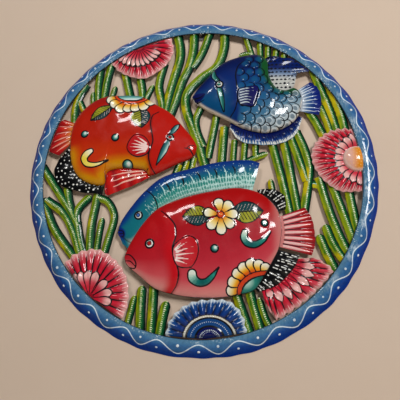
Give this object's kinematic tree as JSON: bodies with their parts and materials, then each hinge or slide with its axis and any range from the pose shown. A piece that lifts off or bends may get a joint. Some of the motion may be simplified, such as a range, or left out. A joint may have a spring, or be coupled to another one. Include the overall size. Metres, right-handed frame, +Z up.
{
  "type": "painted metal wall plaque",
  "caption": "Round openwork wall relief of painted sheet metal: fish, sea weed, anemones and a scallop shell inside a rolled blue rim, hung on a nail.",
  "frame": {"origin": "where the upper end of the keyhole slot in the hanging tab rests on the nail, half-way through the tab's sheet", "axes": "+Z up as the plaque hangs, +X to the viewer's right, the painted front faces -Y and the wall is at +Y"},
  "size_m": [0.6, 0.0351, 0.599],
  "materials": {
    "rim_blue": "gloss",
    "weed_green": "gloss",
    "fish_red": "gloss",
    "fin_black": "gloss",
    "fish_blue": "gloss",
    "fish_teal": "gloss",
    "fish_pink": "gloss",
    "anemone_rose": "gloss",
    "eye_orange": "gloss",
    "shell_blue": "gloss",
    "bare_steel": "satin"
  },
  "bodies": {
    "root": {"rim_ring": "rim_blue", "hanging_tab": "bare_steel", "tab_rivet_left": "bare_steel", "tab_rivet_right": "bare_steel", "upper_left_weeds": "weed_green", "upper_anemone_weeds": "weed_green", "top_weeds": "weed_green", "crown_weeds": "weed_green", "upper_right_weeds": "weed_green", "right_weeds": "weed_green", "left_weeds": "weed_green", "lower_left_weeds": "weed_green", "lower_right_weeds": "weed_green", "red_fish_body": "fish_red", "red_fish_tail_fin": "fish_red", "red_fish_dotted_fin": "fin_black", "red_fish_belly_fin": "fish_red", "blue_fish_body": "fish_blue", "blue_fish_back_fin": "fish_blue", "blue_fish_tail_fin": "fish_blue", "blue_fish_lower_fin": "fish_blue", "teal_fish_body": "fish_teal", "pink_fish_body": "fish_pink", "pink_fish_tail_fin": "fish_pink", "pink_fish_upper_fin": "fin_black", "pink_fish_lower_fin": "fin_black", "upper_left_anemone": "anemone_rose", "right_anemone": "anemone_rose", "right_anemone_eye": "eye_orange", "lower_left_anemone": "anemone_rose", "lower_right_anemone": "anemone_rose", "scallop_shell": "shell_blue"}
  },
  "joints": []
}
